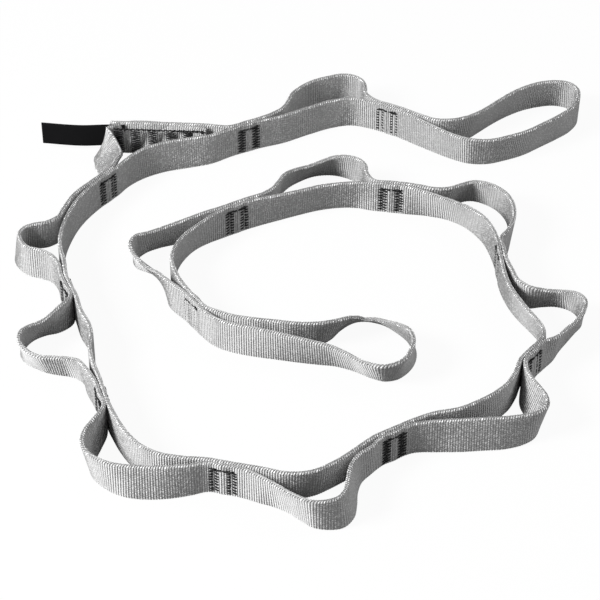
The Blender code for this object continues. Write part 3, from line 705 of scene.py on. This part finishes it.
def webbing_material():
    """Grey nylon that shines across its length, with painted highlights on a row of picks beside each edge,
    painted shade in its grooves, between its yarns and along its edges, painted glints on single yarns, and
    slow painted patches of light and shade.
    """
    if "Ribbed webbing" in bpy.data.materials:
        return bpy.data.materials["Ribbed webbing"]
    settings = bpy.context.scene.daisy_webbing
    material, shader, wiring, phase, across = new_material("Ribbed webbing")
    rib = wiring.group(woven_rib_group(), Phase=phase, Across=across, Yarn=settings.yarn / MM)
    along = wiring.math("MULTIPLY", phase, settings.rib_pitch / MM)
    patches_and_flecks = wiring.group(patch_and_fleck_group(), Along=along, Across=across, Amount=0.25)
    edge = wiring.node("ShaderNodeAttribute", attribute_name="selvedge").outputs["Fac"]
    crest = wiring.ramp(rib["Crest"], 0.1, 0.7)
    # Painted shade: the grooves between the ribs are painted darker than the crests.
    face_colour = wiring.mix(crest, (*settings.groove_shade_colour, 1), (*settings.colour, 1))
    pick = wiring.math("ABSOLUTE", wiring.math("SINE", wiring.math("MULTIPLY", phase, math.pi)))
    lay = wiring.math("ADD", phase, wiring.math("DIVIDE", across, settings.yarn / MM))
    hatch = wiring.math("ABSOLUTE", wiring.math("SINE", wiring.math("MULTIPLY", lay, math.pi)))
    # Painted shade: the diagonal gaps between the yarns over each edge are painted near black.
    edge_colour = wiring.mix(hatch, (*settings.painted_edge_shade, 1), (*settings.edge_colour, 1))
    top = wiring.ramp(edge, 0.45, 0.9)
    colour = wiring.mix(top, face_colour, edge_colour)
    beside = wiring.math("MULTIPLY", wiring.ramp(edge, 0.0, 0.1), wiring.ramp(edge, 0.99, 0.85))
    # Painted highlights: the picks along each rounded edge are painted near white where they would catch the
    # light.
    dots = wiring.math("MULTIPLY", beside, wiring.ramp(pick, 0.55, 0.9))
    dots = wiring.math("MULTIPLY", dots, wiring.math("MULTIPLY_ADD", rib["Odd"], 0.7, 0.3))
    # Painted shade: the band along each rounded edge, between the pale picks, is painted dark.
    colour = wiring.mix(wiring.math("MULTIPLY", beside, 0.7), colour, (*settings.painted_edge_shade, 1))
    shine = wiring.math("MULTIPLY", dots, settings.pick_shine)
    colour = wiring.mix(shine, colour, (*settings.pick_highlight_colour, 1))
    # Painted light and shade: each yarn's bead is painted paler on top and darker between yarns, random yarns
    # are painted much paler as glints, and the slow painted patches of light and shade are multiplied in.
    beads = wiring.math("MULTIPLY_ADD", rib["Bead"], 0.35, 0.78)
    uneven = wiring.math("MULTIPLY_ADD", wiring.ramp(rib["Odd"], 0.5, 1.0), 1.1, 0.72)
    shade = wiring.math("MULTIPLY", wiring.math("MULTIPLY", beads, uneven), patches_and_flecks["Shade"])
    grey = wiring.node("ShaderNodeCombineColor", {0: shade, 1: shade, 2: shade}).outputs[0]
    colour = wiring.mix(1.0, colour, grey, "MULTIPLY")
    rough = wiring.math("MULTIPLY_ADD", patches_and_flecks["Fleck"], 0.04, 0.72)
    rough = wiring.math("MULTIPLY_ADD", rib["Odd"], 0.16, rough)
    height = wiring.math("MULTIPLY_ADD", wiring.math("MULTIPLY", top, hatch), 1.2, rib["Height"])
    height = wiring.math("MULTIPLY_ADD", dots, 0.8, height)
    height = wiring.math("MULTIPLY_ADD", patches_and_flecks["Wave"], settings.wave / settings.weave_depth, height)
    finish_shader(shader, wiring, colour, rough, height, settings.weave_depth)
    wiring.tree.links.new(
        wiring.node("ShaderNodeTangent", direction_type="UV_MAP", uv_map="run").outputs[0],
        shader.inputs["Tangent"],
    )
    shader.inputs["Specular IOR Level"].default_value = 1.0
    shader.inputs["IOR"].default_value = SHEEN_IOR
    shader.inputs["Anisotropic"].default_value = 1.0
    shader.inputs["Anisotropic Rotation"].default_value = QUARTER_TURN
    return material


def thread_material():
    """Near-black sewing thread with the slant of its twist, painted darker between its plies as shade."""
    if "Sewing thread" in bpy.data.materials:
        return bpy.data.materials["Sewing thread"]
    settings = bpy.context.scene.daisy_thread
    material, shader, wiring, along, around = new_material("Sewing thread")
    turned = wiring.math("MULTIPLY", around, 2.0)
    twist = wiring.math("ADD", wiring.math("MULTIPLY", along, settings.twist), turned)
    ply = wiring.math("ABSOLUTE", wiring.math("SINE", wiring.math("MULTIPLY", twist, math.pi)))
    patches_and_flecks = wiring.group(patch_and_fleck_group(), Along=along, Across=around, Amount=0.5)
    # Painted shade: the thread is painted darker between its plies.
    colour = wiring.mix(ply, (*settings.painted_shade_colour, 1), (*settings.colour, 1))
    rough = wiring.math("MULTIPLY_ADD", patches_and_flecks["Fleck"], 0.15, 0.42)
    finish_shader(shader, wiring, colour, rough, ply, 0.05 * MM)
    shader.inputs["Specular IOR Level"].default_value = 0.2
    return material


def label_material():
    """Black woven tape, fine-ribbed and blank, painted darker in the hollows of its weave as shade."""
    if "Label tape" in bpy.data.materials:
        return bpy.data.materials["Label tape"]
    settings = bpy.context.scene.daisy_label
    material, shader, wiring, phase, across = new_material("Label tape")
    rib = wiring.group(woven_rib_group(), Phase=phase, Across=across, Yarn=settings.yarn / MM)
    patches_and_flecks = wiring.group(patch_and_fleck_group(), Along=phase, Across=across, Amount=0.3)
    # Painted shade: the tape is painted darker in the hollows of its weave.
    colour = wiring.mix(rib["Height"], (*settings.painted_shade_colour, 1), (*settings.colour, 1))
    rough = wiring.math("MULTIPLY_ADD", patches_and_flecks["Fleck"], 0.12, 0.7)
    finish_shader(shader, wiring, colour, rough, rib["Height"], 0.04 * MM)
    shader.inputs["Specular IOR Level"].default_value = 0.1
    return material


def floor_material(settings):
    """A pale floor: plain white to the camera, less what little shadow the object throws."""
    material = bpy.data.materials.new("Pale floor")
    material.use_nodes = True
    tree = material.node_tree
    tree.nodes.clear()
    wiring = Wiring(tree)
    matt = wiring.node("ShaderNodeBsdfDiffuse", {"Color": (*settings.floor_colour, 1)}).outputs[0]
    glow = wiring.node("ShaderNodeEmission", {"Color": (1, 1, 1, 1), "Strength": settings.glow}).outputs[0]
    path = wiring.node("ShaderNodeLightPath").outputs
    seen = wiring.math("MULTIPLY", path["Is Camera Ray"], settings.floor_glow)
    mixed = wiring.node("ShaderNodeMixShader", {0: seen, 1: matt, 2: glow}).outputs[0]
    wiring.node("ShaderNodeOutputMaterial", {"Surface": mixed})
    return material


def floor_plane(settings):
    half = settings.floor_size / 2
    mesh = bpy.data.meshes.new("floor")
    corners = [(-half, -half, 0), (half, -half, 0), (half, half, 0), (-half, half, 0)]
    mesh.from_pydata(corners, [], [(0, 1, 2, 3)])
    mesh.materials.append(floor_material(settings))
    floor = bpy.data.objects.new("floor", mesh)
    floor.location.z = CAD_BOX[0].z
    bpy.context.scene.collection.objects.link(floor)


def studio_world(settings):
    """Even light all round, and plain white where the camera looks past the floor."""
    world = bpy.data.worlds.new("Studio")
    world.use_nodes = True
    world.node_tree.nodes.clear()
    wiring = Wiring(world.node_tree)
    seen = wiring.node("ShaderNodeLightPath").outputs["Is Camera Ray"]
    strength = wiring.node("ShaderNodeMix", {0: seen, 2: settings.ambient, 3: 1.0}).outputs[0]
    light = wiring.node("ShaderNodeBackground", {"Color": (1, 1, 1, 1), "Strength": strength}).outputs[0]
    wiring.node("ShaderNodeOutputWorld", {"Surface": light})
    bpy.context.scene.world = world


def area_light(name, azimuth, elevation, distance, size, power):
    """A soft square light that faces the coil's middle. Azimuth 0 is the viewer's side."""
    data = bpy.data.lights.new(name, "AREA")
    data.size = size
    data.energy = power
    lamp = bpy.data.objects.new(name, data)
    lamp.location = seen_from(azimuth, elevation, distance)
    lamp.rotation_euler = facing_back(azimuth, elevation)
    bpy.context.scene.collection.objects.link(lamp)


def seen_from(azimuth, elevation, distance):
    a, e = math.radians(azimuth), math.radians(elevation)
    away = np.array((math.sin(a) * math.cos(e), -math.cos(a) * math.cos(e), math.sin(e)))
    return tuple(np.array((*AIM, 0.0)) + away * distance)


def facing_back(azimuth, elevation):
    return math.radians(90 - elevation), 0.0, math.radians(azimuth)


def camera(settings):
    data = bpy.data.cameras.new("camera")
    data.lens = settings.lens
    data.clip_end = CAMERA_REACH
    seer = bpy.data.objects.new("camera", data)
    seer.location = seen_from(0, settings.camera_elevation, settings.camera_distance)
    seer.rotation_euler = facing_back(0, settings.camera_elevation)
    bpy.context.scene.collection.objects.link(seer)
    bpy.context.scene.camera = seer


class DaisyWebbing(bpy.types.PropertyGroup):
    """Sizes and colours of the webbing."""

    rib_pitch: FloatProperty(
        name="Rib pitch", description="Distance from rib to rib",
        default=1.25 * MM, unit="LENGTH", precision=5,
    )
    rib_depth: FloatProperty(
        name="Rib depth", description="Depth of the grooves on the faces",
        default=0.09 * MM, unit="LENGTH", precision=5,
    )
    edge_depth: FloatProperty(
        name="Edge depth", description="Depth of the grooves on the selvedges",
        default=0.36 * MM, unit="LENGTH", precision=5,
    )
    corner: FloatProperty(
        name="Corner", description="Radius of the strip's long edges",
        default=0.9 * MM, unit="LENGTH", precision=5,
    )
    pinch: FloatProperty(
        name="Pinch", description="How far the bars draw the faces in",
        default=0.45 * MM, unit="LENGTH", precision=5,
    )
    yarn: FloatProperty(
        name="Yarn", description="Width of one warp yarn",
        default=1.3 * MM, unit="LENGTH", precision=5,
    )
    weave_depth: FloatProperty(
        name="Weave depth", description="Height of the yarns over the ribs",
        default=0.15 * MM, unit="LENGTH", precision=5,
    )
    wave: FloatProperty(
        name="Wave", description="How unevenly the faces lie",
        default=4.0 * MM, unit="LENGTH", precision=5,
    )
    cut_end: FloatProperty(name="Cut end", description="Share by which a melted end closes in", default=0.16)
    # Strength of the painted highlight on the picks beside each edge.
    pick_shine: FloatProperty(
        name="Pick shine", description="How far the picks beside the edge turn pale",
        default=0.95,
    )
    colour: FloatVectorProperty(
        name="Colour", description="Colour of the crests",
        subtype="COLOR", default=(0.19, 0.19, 0.19),
    )
    # Painted shade colour of the grooves between the ribs.
    groove_shade_colour: FloatVectorProperty(
        name="Groove", description="Colour in the grooves",
        subtype="COLOR", default=(0.13, 0.13, 0.13),
    )
    edge_colour: FloatVectorProperty(
        name="Edge", description="Colour of the thin edges",
        subtype="COLOR", default=(0.2, 0.2, 0.2),
    )
    # Painted shade colour between the yarns and picks of the thin edges.
    painted_edge_shade: FloatVectorProperty(
        name="Edge shade", description="Colour between the yarns of the thin edges",
        subtype="COLOR", default=(0.03, 0.03, 0.03),
    )
    # Painted highlight colour of the picks beside each edge; the webbing's own colour there is grey.
    pick_highlight_colour: FloatVectorProperty(
        name="Picks", description="Colour of the picks beside the edge",
        subtype="COLOR", default=(0.85, 0.85, 0.85),
    )


class DaisyThread(bpy.types.PropertyGroup):
    """Sizes and colours of the sewing thread."""

    diameter: FloatProperty(
        name="Diameter", description="Thickness of the thread",
        default=0.5 * MM, unit="LENGTH", precision=5,
    )
    proud: FloatProperty(
        name="Proud", description="How far a stitch stands off the face",
        default=0.2 * MM, unit="LENGTH", precision=5,
    )
    sunk: FloatProperty(
        name="Sunk", description="How deep a stitch's ends go in",
        default=0.5 * MM, unit="LENGTH", precision=5,
    )
    overhang: FloatProperty(
        name="Overhang", description="How far the stitches pass a bar's sides",
        default=0.3 * MM, unit="LENGTH", precision=5,
    )
    most_pull: FloatProperty(
        name="Most pull", description="How far the tightest bars are drawn in",
        default=0.8 * MM, unit="LENGTH", precision=5,
    )
    buried: FloatProperty(
        name="Buried", description="How deep the stitches sink for a tightness of 1 over 1",
        default=1.0 * MM, unit="LENGTH", precision=5,
    )
    scatter: FloatProperty(
        name="Scatter", description="How uneven the stitches are",
        default=0.12 * MM, unit="LENGTH", precision=5,
    )
    run_length: FloatProperty(
        name="Run stitch", description="Length of a running stitch",
        default=2.6 * MM, unit="LENGTH", precision=5,
    )
    run_gap: FloatProperty(name="Run gap", description="Share of a running stitch that is gap", default=0.12)
    twist: FloatProperty(name="Twist", description="Turns of the ply to a millimetre", default=0.9)
    turns: IntProperty(name="Turns", description="Zigzags in a bar", default=8)
    splice_turns: IntProperty(name="Splice turns", description="Zigzags in a bar of the splice", default=11)
    knot_turns: IntProperty(name="Knot turns", description="Stitches in a knot", default=5)
    stitch_steps: IntProperty(name="Stitch steps", description="Rings along a stitch", default=9)
    sides: IntProperty(name="Sides", description="Sides of the round thread", default=8)
    colour: FloatVectorProperty(
        name="Colour", description="Colour of the thread",
        subtype="COLOR", default=(0.016, 0.016, 0.017),
    )
    # Painted shade colour between the plies of the thread.
    painted_shade_colour: FloatVectorProperty(
        name="Shade", description="Colour between the plies",
        subtype="COLOR", default=(0.005, 0.005, 0.005),
    )


class DaisyLabel(bpy.types.PropertyGroup):
    """Sizes and colours of the label."""

    rib_pitch: FloatProperty(
        name="Rib pitch", description="Distance from rib to rib",
        default=0.6 * MM, unit="LENGTH", precision=5,
    )
    yarn: FloatProperty(
        name="Yarn", description="Width of one yarn",
        default=0.4 * MM, unit="LENGTH", precision=5,
    )
    colour: FloatVectorProperty(
        name="Colour", description="Colour of the tape",
        subtype="COLOR", default=(0.006, 0.006, 0.007),
    )
    # Painted shade colour in the hollows of the label's weave.
    painted_shade_colour: FloatVectorProperty(
        name="Shade", description="Colour in the weave",
        subtype="COLOR", default=(0.002, 0.002, 0.002),
    )


class DaisyStage(bpy.types.PropertyGroup):
    """Floor, lights and camera."""

    camera_elevation: FloatProperty(
        name="Camera elevation", description="Degrees above the table",
        default=40,
    )
    camera_distance: FloatProperty(
        name="Camera distance", description="Distance to the coil",
        default=1.1282, unit="LENGTH",
    )
    lens: FloatProperty(name="Lens", description="Focal length in millimetres", default=132)
    floor_size: FloatProperty(name="Floor size", description="Side of the floor", default=6.0, unit="LENGTH")
    floor_colour: FloatVectorProperty(
        name="Floor", description="Colour of the floor",
        subtype="COLOR", default=(0.22, 0.22, 0.22),
    )
    floor_glow: FloatProperty(
        name="Floor glow", description="Share of plain white that the camera sees",
        default=0.85,
    )
    glow: FloatProperty(name="Glow", description="Strength of that white", default=1.11)
    ambient: FloatProperty(name="Ambient", description="Strength of the light all round", default=0.48)
    key_azimuth: FloatProperty(
        name="Key azimuth", description="Degrees round from the viewer, left being less",
        default=-66.5,
    )
    key_elevation: FloatProperty(name="Key elevation", description="Degrees above the table", default=37)
    key_power: FloatProperty(name="Key", description="Power of the light from the left", default=45)
    fill_azimuth: FloatProperty(name="Fill azimuth", description="Degrees round from the viewer", default=96)
    fill_elevation: FloatProperty(name="Fill elevation", description="Degrees above the table", default=40)
    fill_power: FloatProperty(name="Fill", description="Power of the weak light from the right", default=2.0)


class DAISY_OT_end_loops(bpy.types.Operator):
    """Sweep the two end loops of webbing"""

    bl_idname = "daisy.end_loops"
    bl_label = "End loops"

    def execute(self, context):
        first, last = TACKS[0], TACKS[-1]
        route = [first.point(0, OUTER), first.point(-TACK_HALF, OUTER)] + knots(START_LOOP)
        route += [first.point(-TACK_HALF, INNER), first.point(0, INNER)]
        webbing_strand("end_loop_start", route, -first.heading, first.heading, 1, body=BODIES[0])
        route = [last.point(0, OUTER), last.point(HINGE_REACH, OUTER)] + knots(FAR_LOOP)
        route += [last.point(HINGE_REACH, INNER), last.point(0, INNER)]
        webbing_strand("end_loop_far", route, last.heading, -last.heading, -1, bend=len(TACKS) - 1)
        return {"FINISHED"}


class DAISY_OT_pockets(bpy.types.Operator):
    """Sweep the inner and outer strand of each pocket"""

    bl_idname = "daisy.pockets"
    bl_label = "Pockets"

    def execute(self, context):
        for number in range(1, len(TACKS)):
            pocket_strand(number, "spine", INNER, SPINES[number - 1])
            if number != SPLICE_POCKET:
                pocket_strand(number, "loop", OUTER, LOOPS[number - 1])
        return {"FINISHED"}


class DAISY_OT_splice(bpy.types.Operator):
    """Lap the two ends of the webbing and sew them"""

    bl_idname = "daisy.splice"
    bl_label = "Splice"

    def execute(self, context):
        here, there = TACKS[SPLICE_POCKET - 1], TACKS[SPLICE_POCKET]
        route = [here.point(0, OUTER), here.point(HINGE_REACH, OUTER)]
        route += [SPLICE.point(-SPLICE_HALF, -LAP_OFFSET), SPLICE.point(SPLICE_HALF, -LAP_OFFSET)]
        webbing_strand(f"pocket_{SPLICE_POCKET:02d}_loop", route, here.heading, SPLICE.heading, -1,
                       bend=SPLICE_POCKET - 1, free=(False, True))
        route = [SPLICE.point(-SPLICE_HALF, LAP_OFFSET)]
        route += [SPLICE.point(SPLICE_HALF - WEBBING_THICKNESS, LAP_OFFSET)]
        route += knots(SPLICE_RETURN) + [there.point(-TACK_HALF, OUTER), there.point(0, OUTER)]
        webbing_strand("splice_end", route, SPLICE.heading, there.heading, -1,
                       body=BODIES[SPLICE_POCKET], free=(True, False))
        thread = context.scene.daisy_thread
        chance = np.random.default_rng(len(TACKS) + 1)
        paths = []
        for side in (-1, 1):
            for centre in SPLICE_BARS:
                paths += zigzag(centre, LAP_FACE, side, thread, chance, thread.splice_turns, 0.0)
            for row in (-0.5, 0.5):
                paths += running(SPLICE_RUN_START, SPLICE_BARS[-1] + BAR_WIDTH / 2,
                                 SPLICE_RUN_HEIGHT + row * thread.diameter, LAP_FACE, side, thread, chance)
            paths += knot(SPLICE_RUN_START, SPLICE_RUN_HEIGHT - thread.diameter, LAP_FACE, side,
                          thread, chance)
        sewn("splice_stitching", SPLICE, paths, BODIES[SPLICE_POCKET])
        return {"FINISHED"}


class DAISY_OT_bar_tacks(bpy.types.Operator):
    """Sew the bar tacks between the pockets"""

    bl_idname = "daisy.bar_tacks"
    bl_label = "Bar tacks"

    def execute(self, context):
        for number in range(1, len(TACKS) + 1):
            bar_tack(number)
        return {"FINISHED"}


class DAISY_OT_label(bpy.types.Operator):
    """Sweep the blank tape label out of the splice"""

    bl_idname = "daisy.label"
    bl_label = "Label"

    def execute(self, context):
        settings = context.scene.daisy_label
        route = [SPLICE.point(LABEL_ROOT), SPLICE.point(SPLICE_HALF)]
        route += [SPLICE.point((LABEL_ROOT + LABEL_TIP) / 2, LABEL_BOW), SPLICE.point(LABEL_TIP)]
        last_heading = heading_of(SPLICE_PLACE[2] - LABEL_DROOP)
        run = smoothed(route, SPLICE.heading, last_heading)
        section = Section(LABEL_THICKNESS, LABEL_WIDTH, LABEL_CORNER, 0)
        mesh = swept("label", run, section, settings.rib_pitch, LABEL_RIB_DEPTH, LABEL_EDGE_DEPTH,
                     (0, LABEL_CUT_END), middle=LABEL_MIDDLE)
        shown("tape_label", mesh, label_material(), BODIES[SPLICE_POCKET], None, ("label",))
        return {"FINISHED"}


class DAISY_OT_stage(bpy.types.Operator):
    """Add the floor, the lights and the camera"""

    bl_idname = "daisy.stage"
    bl_label = "Stage"

    def execute(self, context):
        settings = context.scene.daisy_stage
        context.scene.view_settings.view_transform = "Standard"
        floor_plane(settings)
        studio_world(settings)
        area_light("key", settings.key_azimuth, settings.key_elevation, KEY_DISTANCE, KEY_SIZE,
                   settings.key_power)
        area_light("fill", settings.fill_azimuth, settings.fill_elevation, FILL_DISTANCE, FILL_SIZE,
                   settings.fill_power)
        camera(settings)
        return {"FINISHED"}


OPERATORS = (
    DAISY_OT_stage,
    DAISY_OT_end_loops,
    DAISY_OT_pockets,
    DAISY_OT_splice,
    DAISY_OT_bar_tacks,
    DAISY_OT_label,
)
SETTINGS = {
    "daisy_webbing": DaisyWebbing,
    "daisy_thread": DaisyThread,
    "daisy_label": DaisyLabel,
    "daisy_stage": DaisyStage,
}


class DAISY_PT_panel(bpy.types.Panel):
    """Settings and steps of the daisy chain"""

    bl_label = "Daisy Chain"
    bl_idname = "DAISY_PT_panel"
    bl_space_type = "VIEW_3D"
    bl_region_type = "UI"
    bl_category = "Daisy Chain"

    def draw(self, context):
        for operator in OPERATORS:
            self.layout.operator(operator.bl_idname)
        for name, group in SETTINGS.items():
            box = self.layout.box()
            box.label(text=group.__doc__)
            for field in group.__annotations__:
                box.prop(getattr(context.scene, name), field)


CLASSES = (*SETTINGS.values(), *OPERATORS, DAISY_PT_panel)


def register():
    for cls in CLASSES:
        bpy.utils.register_class(cls)
    for name, group in SETTINGS.items():
        setattr(bpy.types.Scene, name, PointerProperty(type=group))


def unregister():
    for name in SETTINGS:
        delattr(bpy.types.Scene, name)
    for cls in reversed(CLASSES):
        bpy.utils.unregister_class(cls)


def main():
    register()
    for step in (
        bpy.ops.daisy.stage,
        bpy.ops.daisy.end_loops,
        bpy.ops.daisy.pockets,
        bpy.ops.daisy.splice,
        bpy.ops.daisy.bar_tacks,
        bpy.ops.daisy.label,
    ):
        step()


if __name__ == "__main__":
    main()
